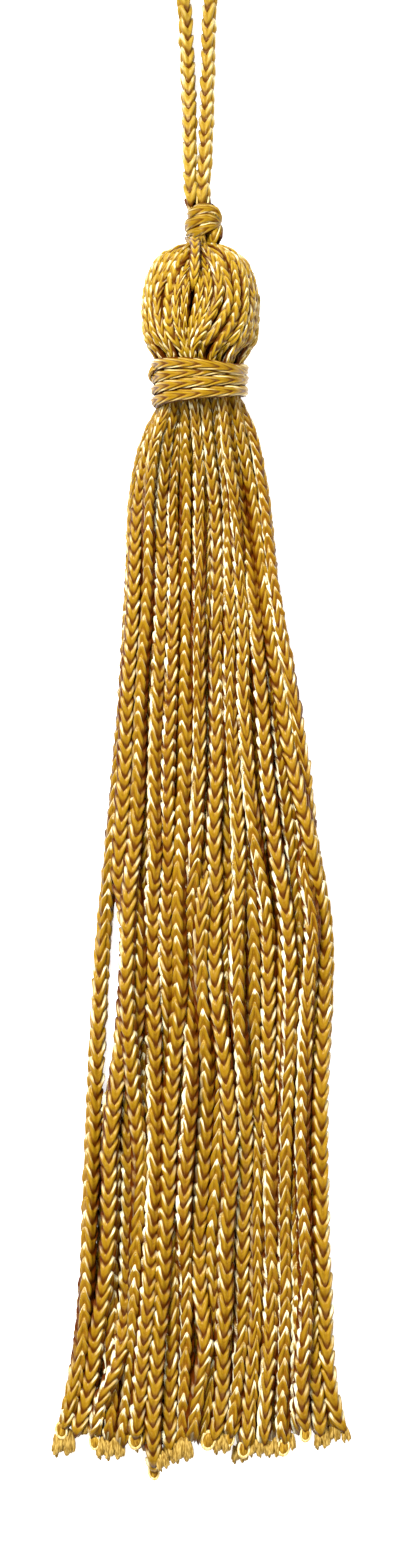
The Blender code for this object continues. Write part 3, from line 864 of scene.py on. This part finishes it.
# %% One brush
FILAMENTS = 10
BRUSH_HALF = 0.66 * MM
BRUSH_LENGTH = 1.1 * MM
BRUSH_SPREAD = 0.26  # in radians, at the brush's sides
TOUSLED = 0.35
FILAMENT_HALF = (0.24 * MM, 0.38 * MM)  # thinnest and thickest
FILAMENT_ALONG = (-0.45 * MM, 0.25 * MM)
FILAMENT_UP = (-0.2 * MM, 0.25 * MM)
brush = []
for number in range(FILAMENTS):
    share = (number + 0.5) / FILAMENTS
    filament = add_shape(
        bpy.ops.mesh.primitive_uv_sphere_add,
        segments=7, ring_count=7, radius=1.0, rotation=(0.25 * math.tau, 0.0, 0.0),
    )
    filament.scale = (*rng.uniform(*FILAMENT_HALF, 2), BRUSH_LENGTH)
    bpy.ops.object.transform_apply()
    place = blend(-BRUSH_HALF, BRUSH_HALF, share)
    filament.location = (place, rng.uniform(*FILAMENT_ALONG), rng.uniform(*FILAMENT_UP))
    filament.rotation_euler.z = blend(-BRUSH_SPREAD, BRUSH_SPREAD, share) + rng.uniform(-TOUSLED, TOUSLED)
    brush.append(filament)
brush_end = join("brush_end", brush, brush_silk)
brush_end.data.shade_smooth()

# %% [markdown]
# ### A loop or a brush on each end
# The marks say where the ends are seen, how wide each one is and how it is turned. Each copy is its own
# mesh, and it sits on the strand's own end. So its height is read from the highest settled strand there.

# %% Loops and brushes at the ends
LOOP_PATTERN_HALF = 0.72
BRUSH_PATTERN_HALF = 0.83
LOW_BRUSH = 0.65  # brushes given less height than this stay low, between the strands
BRUSH_REACH = 14.0  # marks from a brush back to the strand that it grows from
LOOP_LIFT = 0.3 * MM
BRUSH_DROP = 0.25 * MM
LONGER = 0.6  # how much of a copy's widening goes into its length
THICKEST_COPY = 1.15
NEAR = 1.1 * MM
END_MARKS = 12.0  # how far past its own end a strand still counts as near
BARE_HEIGHT = 0.9 * MM
LOOP_ENDS = (
    # mark across, mark along, half width in mm, turn in degrees
    (61.7, 1428.5, 0.7, 8), (94.8, 1440.0, 0.6, 4), (135.9, 1437.0, 0.78, -4),
    (153.8, 1470.8, 0.66, 6), (208.4, 1437.5, 0.84, -10), (229.5, 1436.3, 0.58, -6),
    (243.7, 1447.0, 0.7, -4), (283.5, 1445.0, 0.7, -8), (305.3, 1430.5, 0.62, -6),
    (99.5, 1411.0, 0.5, 10),
)
BRUSH_ENDS = (
    # mark across, mark along, half width in mm, turn in degrees, height
    (63.8, 1441.0, 1.25, 0, 0.7), (86.0, 1424.5, 0.6, -35, 1.2), (104.0, 1445.0, 0.9, 8, 0.7),
    (115.0, 1445.0, 1.1, 0, 0.9), (141.0, 1441.0, 0.8, 5, 0.6), (162.0, 1457.0, 0.7, 20, 0.9),
    (169.0, 1451.0, 0.95, 12, 1.1), (183.0, 1446.0, 1.1, 5, 0.8), (222.0, 1440.0, 0.95, 0, 0.8),
    (240.0, 1452.0, 0.9, 0, 0.6), (256.0, 1444.0, 0.8, 0, 0.7), (263.5, 1444.5, 0.75, 6, 1.7),
    (275.0, 1445.0, 0.8, -6, 0.8), (290.0, 1440.0, 0.6, 4, 0.7), (321.6, 1436.0, 0.85, 4, 1.4),
    (334.0, 1431.0, 0.7, 0, 0.7), (345.5, 1433.0, 0.5, 14, 0.9),
)


def place_copy(pattern, across, mark, height, scale, turn):
    """A copy of a pattern at its marks, and as its own mesh."""
    copy = add_object(pattern.name, pattern.data.copy())
    copy.location.x = blend(VIEW_MIDDLE[0], (across - AXIS_MARK) * RULER, TABLE_STRETCH)
    copy.location.y = blend(VIEW_MIDDLE[1], (TOP_MARK - mark) * RULER, TABLE_STRETCH)
    copy.location.z = height
    copy.rotation_euler.z = math.radians(turn)
    copy.scale = (scale, blend(1.0, scale, LONGER), min(scale, THICKEST_COPY))
    return copy


def top_of_skirt(across, mark):
    """The middle of the highest strand near a place, for a part that sits on its end."""
    column = int(np.argmin(np.abs(marks - mark)))
    near = np.abs(x[:, column] - (across - AXIS_MARK) * RULER) < NEAR
    near &= ends > mark - END_MARKS
    return float(z[near, column].max()) if near.any() else BARE_HEIGHT


end_parts = []
for across, mark, half_width, turn in LOOP_ENDS:
    height = top_of_skirt(across, mark) + LOOP_LIFT
    end_parts.append(place_copy(loop_end, across, mark, height, half_width / LOOP_PATTERN_HALF, turn))
loop_ends = join("strand_loops", end_parts)
brush_parts = []
for across, mark, half_width, turn, height in BRUSH_ENDS:
    level = height * MM
    if height >= LOW_BRUSH:
        level = max(level, top_of_skirt(across, mark - BRUSH_REACH) - BRUSH_DROP)
    brush_parts.append(place_copy(brush_end, across, mark, level, half_width / BRUSH_PATTERN_HALF, turn))
brush_ends = join("strand_brushes", brush_parts, brush_silk)
for piece in (loop_ends, brush_ends):
    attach(piece, "root")
    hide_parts("head_and_skirt")
for pattern in (loop_end, brush_end):
    bpy.data.objects.remove(pattern)

# %% [markdown]
# ## Head
# At the crown the strands fold over a core and come down round it to the neck. They crowd together at the
# crown and the neck and part at the front, where a crease runs down to the binding. A ball with a ribbed
# bump would keep a smooth outline, so each strand is a real cord again. It follows the head's half profile,
# swung round the axis to its own angle. Where there is less room every second cord sinks in, as it does in
# the hand, and a few thin cords lie down in the crease.

# %% The head's marks
HEAD_PROFILE = (
    # along, half width
    (68.35, 0.4), (68.2, 1.6), (67.85, 2.9), (67.2, 4.1), (66.0, 5.3),
    (64.2, 6.2), (61.8, 6.68), (59.5, 6.7), (57.7, 6.55), (56.4, 6.25),
    (55.3, 5.75), (54.2, 5.1), (53.0, 4.6),
)
HEAD_CORDS = 26
HEAD_CORD_RADIUS = 0.73 * MM
HEAD_STITCH = 1.36 * MM
CREASE = ((53.0, -0.34), (55.5, -0.31), (61.0, -0.17), (68.3, -0.05))  # along, angle from the front
CREASE_OPENING = ((53.0, 0.0), (55.3, 0.03), (58.0, 0.24), (61.5, 0.37), (65.0, 0.28), (68.3, 0.08))
CREASE_CORDS = (
    # share of the opening, depth at the middle of the crease and at its ends in mm
    (-0.8, 0.0, 0.5), (-0.36, 0.2, 1.0), (0.34, 0.15, 1.0), (0.78, 0.0, 0.5),
)
CROWN_FOLD = (
    # across, along, height
    (-0.75, 68.3, 7.4), (-0.72, 67.5, 9.3), (-0.7, 66.2, 10.45),
    (-0.75, 64.8, 10.95), (-0.85, 63.4, 10.95), (-1.0, 62.2, 10.3),
)
print(HEAD_CORDS, "cords are to share the head, and", len(CREASE_CORDS), "lie in its crease")

# %% Head cords
PROFILE_STEP = 0.3 * MM
FOLD_STEP = 0.25 * MM
CORD_DEPTH = 0.9 * HEAD_CORD_RADIUS  # of a cord's middle below the profile
SUNK = 0.5 * MM  # every second cord, where they crowd, and there each one narrows
NARROWED = 0.3
WOBBLE = 0.03  # radians, and how long its waves are
WOBBLE_LENGTH = 1.5 * MM
HEAD_TWIST = 1.5  # radians down the head, at most
CREASE_SIZE = 0.8
AXIS_ROOM = 0.05 * MM

profile = evenly(np.array([(half, place, 0.0) for place, half in HEAD_PROFILE]) * MM, PROFILE_STEP)
half_width, head_along = profile[:, 0], profile[:, 1]
slope = np.gradient(profile[:, :2], axis=0)
slope /= np.linalg.norm(slope, axis=1)[:, None]
out_across, out_along = -slope[:, 1], slope[:, 0]
crease, opening = [smooth_line(*np.transpose(rows), head_along / MM) for rows in (CREASE, CREASE_OPENING)]


def head_cord(name, angle, depth, size, turn):
    """A cord down the head at an angle from the front, sunk by a depth, all read along the profile."""
    half = np.maximum(half_width - out_across * depth, AXIS_ROOM)
    height = np.maximum(AXIS_Z + THICKNESS_SHARE * half * np.cos(angle), size)
    points = np.stack([AXIS_X + half * np.sin(angle), head_along - out_along * depth, height], axis=1)
    facing = np.stack([out_across * np.sin(angle), out_along, out_across * np.cos(angle)], axis=1)
    scale = size / CORD_RADIUS
    return knit_cord(name, fine_course, points, facing, turn, scale, scale, pitch=HEAD_STITCH)


head_cords = []  # crowding is 1 where the profile draws in, at the crown and at the neck
crowding = ease(half_width, 5.6 * MM, 2.0 * MM) + ease(head_along, 57.0 * MM, 55.0 * MM)
crowding = np.clip(crowding, 0.0, 1.0)
for number in range(HEAD_CORDS):
    share = (number + 0.5) / HEAD_CORDS
    angle = crease + opening + (math.tau - 2.0 * opening) * share
    angle += WOBBLE * np.sin(head_along / WOBBLE_LENGTH + rng.uniform(0.0, math.tau))
    depth = CORD_DEPTH + SUNK * crowding * (number % 2)
    size = HEAD_CORD_RADIUS * (1.0 - NARROWED * crowding)
    turn = rng.uniform(0.0, math.tau)
    turn += rng.uniform(-HEAD_TWIST, HEAD_TWIST) * np.linspace(0.0, 1.0, len(profile))
    head_cords.append(head_cord("head_cord", angle, depth, size, turn))
crease_middle = ease(head_along, 66.0 * MM, 63.0 * MM) * ease(head_along, 55.5 * MM, 59.0 * MM)
for across, middle_depth, end_depth in CREASE_CORDS:
    depth = CORD_DEPTH + blend(end_depth, middle_depth, crease_middle) * MM
    angle, size, turn = crease + across * opening, HEAD_CORD_RADIUS * CREASE_SIZE, rng.uniform(0.0, 3.0)
    head_cords.append(head_cord("crease_cord", angle, depth, size, turn))
head_cords.append(knit_cord(
    "crown fold", fine_course, evenly(np.array(CROWN_FOLD) * MM, FOLD_STEP), UP,
    turns=0.0, widths=0.6, heights=0.6, pitch=HEAD_STITCH,
))
head = join("head_cords", head_cords, head_silk)
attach(head, "root")
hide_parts("head_and_skirt")

# %% [markdown]
# ### Core of the head
# The real core is a wooden bead or a ball of waste yarn, and it can't be seen. It only closes the view
# between the cords, so it is a plain egg that narrows to the neck, in the same silk. It has no height in a
# cord, so the silk gives it its full painted shade, and it shows dark between the cords.

# %% The core
CORE_HALF = 5.0 * MM
CORE_HALF_LENGTH = 8.2 * MM
CORE_MIDDLE = (AXIS_X, 58.2 * MM, AXIS_Z)
CORE_NECK = 0.78  # of its width, at the lower end
core = add_shape(
    bpy.ops.mesh.primitive_uv_sphere_add,
    segments=32, ring_count=24, radius=1.0, location=CORE_MIDDLE, rotation=(-0.25 * math.tau, 0.0, 0.0),
)
core.scale = (CORE_HALF, THICKNESS_SHARE * CORE_HALF, CORE_HALF_LENGTH)
bpy.ops.object.transform_apply()
neck_end = np.array([vertex.co.y < CORE_MIDDLE[1] for vertex in core.data.vertices])
core.data.vertices.foreach_set("select", neck_end)
bpy.ops.object.mode_set(mode="EDIT")
bpy.ops.transform.resize(value=(CORE_NECK, 1.0, CORE_NECK), center_override=CORE_MIDDLE)
bpy.ops.mesh.select_all(action="SELECT")
bpy.ops.mesh.normals_make_consistent(inside=False)
bpy.ops.mesh.faces_shade_smooth()
bpy.ops.object.mode_set(mode="OBJECT")
core = join("head_core", [core], skirt_silk)
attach(core, "root")
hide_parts("head_and_skirt")

# %% [markdown]
# ## Binding
# The neck is wound with a stretched length of the same chainette, so its stitches lie almost flat along it.
# Four turns climb across the front, and the last one crosses back down over them before its end is tucked
# in. The winding could be a torus for each turn, but one long line keeps the small steps at the back and
# the crossing at the front.

# %% The winding
WINDING = (
    # angle in degrees from the front, along, distance out from the winding
    (100, 49.75, -0.5), (140, 49.9, 0.0), (270, 50.0, 0.0), (450, 51.25, 0.0), (630, 51.35, 0.0),
    (810, 52.5, 0.0), (990, 52.6, 0.0), (1170, 53.65, 0.0), (1350, 54.05, 0.05), (1400, 54.1, 0.3),
    (1440, 53.85, 0.45), (1480, 53.4, 0.35), (1510, 53.1, -0.1), (1530, 53.0, -0.7),
)
WINDING_HALF = 5.0 * MM
WINDING_SHIFT = -0.1 * MM
WINDING_STEPS = 900
TUCKED_END = ((-4.7, 54.0, 7.4), (-5.35, 53.75, 6.9), (-5.7, 53.2, 6.3), (-5.6, 52.6, 5.8), (-5.1, 52.3, 5.5))
winding_marks, *columns = np.array(WINDING).T
degrees = np.linspace(winding_marks[0], winding_marks[-1], WINDING_STEPS)
wind_along, wind_out = [smooth_line(winding_marks, column * MM, degrees) for column in columns]
sine, cosine = np.sin(np.radians(degrees)), np.cos(np.radians(degrees))
wind_x = AXIS_X + WINDING_SHIFT + (WINDING_HALF + wind_out) * sine
wind_z = AXIS_Z + THICKNESS_SHARE * (WINDING_HALF + wind_out) * cosine
turns_of_cord = knit_cord(
    "winding", taut_course, np.stack([wind_x, wind_along, wind_z], axis=1),
    facing=np.stack([sine, np.zeros_like(sine), cosine], axis=1),
    turns=0.15, widths=0.68, heights=0.62, pitch=1.9 * MM,
)
tucked_end = knit_cord(
    "tucked end", taut_course, evenly(np.array(TUCKED_END) * MM, FOLD_STEP),
    facing=(-1, 0, 0.5), turns=0.0, widths=0.42, heights=0.36, pitch=1.4 * MM,
)
winding = join("neck_winding", [turns_of_cord, tucked_end], binding_silk)
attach(winding, "root")
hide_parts("neck_binding")

# %% [markdown]
# ## Knot
# The loop's two legs are tied in one round knot, which stops the loop from pulling out of the head. A ball
# would show no tying. So one taut cord climbs round the knot in slanting bands, as the tied cord does, and
# short lengths beside it are the lobe at the right, the tucked fold at the left and the legs going in.

# %% The knot's turns
KNOT_AXIS = (0.2, 5.55)  # across and height
KNOT_STEP = 0.2 * MM
KNOT_FOLDS = (
    # width, height, then points across, along, height
    (0.7, 0.62, (
        (-0.2, 68.2, 4.6), (-1.2, 68.5, 5.2), (-1.15, 68.8, 6.2), (-0.5, 69.1, 6.75), (0.2, 69.5, 6.95),
        (0.9, 69.85, 6.8), (1.6, 70.05, 6.2), (1.75, 70.0, 5.3), (0.8, 69.8, 4.4), (-0.4, 69.7, 4.3),
        (-1.3, 69.75, 4.9), (-1.45, 69.95, 5.8), (-1.0, 70.2, 6.6), (-0.2, 70.55, 7.0), (0.6, 70.78, 7.0),
        (1.3, 70.65, 6.6), (1.7, 70.3, 5.8), (1.4, 70.2, 4.9), (0.3, 70.7, 4.3), (-0.8, 71.0, 4.5),
        (-1.15, 71.1, 5.3), (-0.95, 71.3, 6.1), (-0.4, 71.65, 6.6), (0.4, 71.9, 6.8), (1.2, 71.8, 6.5),
        (1.7, 71.2, 6.1), (1.8, 70.5, 5.5), (1.5, 69.9, 5.0),
    )),
    (0.85, 0.7, (
        (1.2, 70.0, 4.6), (1.65, 69.6, 5.7), (1.55, 69.0, 6.4), (1.45, 68.4, 6.1), (1.3, 67.7, 5.4),
    )),
    (0.5, 0.45, (
        (-1.5, 68.9, 5.0), (-1.35, 68.3, 5.9), (-0.8, 68.15, 6.5), (-0.2, 68.6, 6.5), (0.2, 69.0, 5.9),
    )),
    (0.45, 0.45, ((0.3, 67.0, 7.0), (0.12, 68.0, 6.9), (0.0, 68.9, 6.6), (0.1, 69.8, 5.9))),
    (0.5, 0.5, ((-0.4, 67.0, 6.9), (-0.3, 68.0, 6.8), (-0.15, 68.7, 6.5), (0.0, 69.6, 5.9))),
    (0.9, 0.9, ((-1.15, 73.4, 5.5), (-0.9, 72.2, 5.6), (-0.4, 70.8, 5.5), (0.0, 67.5, 5.3))),
    (0.9, 0.9, ((0.2, 73.4, 5.7), (0.3, 72.2, 5.7), (0.5, 70.8, 5.5), (0.9, 67.5, 5.3))),
)
knot_cords = []
facing = None
for width, height, places in KNOT_FOLDS:
    fold_points = evenly(np.array(places) * MM, KNOT_STEP)
    if facing is None:  # the first one goes round the knot, and faces away from its middle
        facing = fold_points - np.array([KNOT_AXIS[0], 0.0, KNOT_AXIS[1]]) * MM
        facing[:, 1] = 0.0
    else:
        facing = UP
    knot_cords.append(knit_cord(
        "fold", tight_course, fold_points, facing, turns=0.3, widths=width, heights=height, pitch=2.0 * MM
    ))
knot = join("knot_turns", knot_cords, knot_silk)
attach(knot, "root")
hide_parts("knot")

for course in courses:
    bpy.data.objects.remove(course)

# %% [markdown]
# ## Table and light
# The tassel lies on white paper under four soft lamps. The largest one stands beyond the loop, so each
# stitch is bright on its upper side. The paper gives back a little light of its own, as paper inside a
# white tent does, and that keeps the shadows beside the tassel faint.

# %% Floor and light
WHITE = (1.0, 1.0, 1.0, 1.0)
LAMPS = (
    # name, place, width, power
    ("key", (-0.2, 0.44, 0.65), 0.22, 11.7),
    ("low fill", (0.05, -0.4, 0.6), 0.3, 1.6),
    ("left fill", (-0.65, 0.2, 0.6), 0.25, 4.0),
    ("right fill", (0.65, 0.15, 0.65), 0.25, 3.0),
)
floor = add_shape(bpy.ops.mesh.primitive_plane_add, size=12.0)
floor.name = "floor"
paper, _ = new_material(
    "white paper", Base_Color=(0.9, 0.9, 0.9, 1.0), Roughness=0.9, Specular_IOR_Level=0.1,
    Emission_Color=WHITE, Emission_Strength=0.75,
)
floor.data.materials.append(paper)

world = bpy.data.worlds.new("studio")
bpy.context.scene.world = world
world.use_nodes = True
set_inputs(world.node_tree.nodes["Background"], {"Color": WHITE, "Strength": 0.1})
for name, place, width, power in LAMPS:
    data = bpy.data.lights.new(name, "AREA")
    data.shape = "SQUARE"
    data.size = width
    data.energy = power
    lamp = add_object(name, data)
    lamp.location = place
    lamp.rotation_euler = (-lamp.location).to_track_quat("-Z", "Y").to_euler()  # towards the tassel
bpy.context.scene.view_settings.view_transform = "Standard"
print("lamps:", [light.name for light in bpy.data.lights])
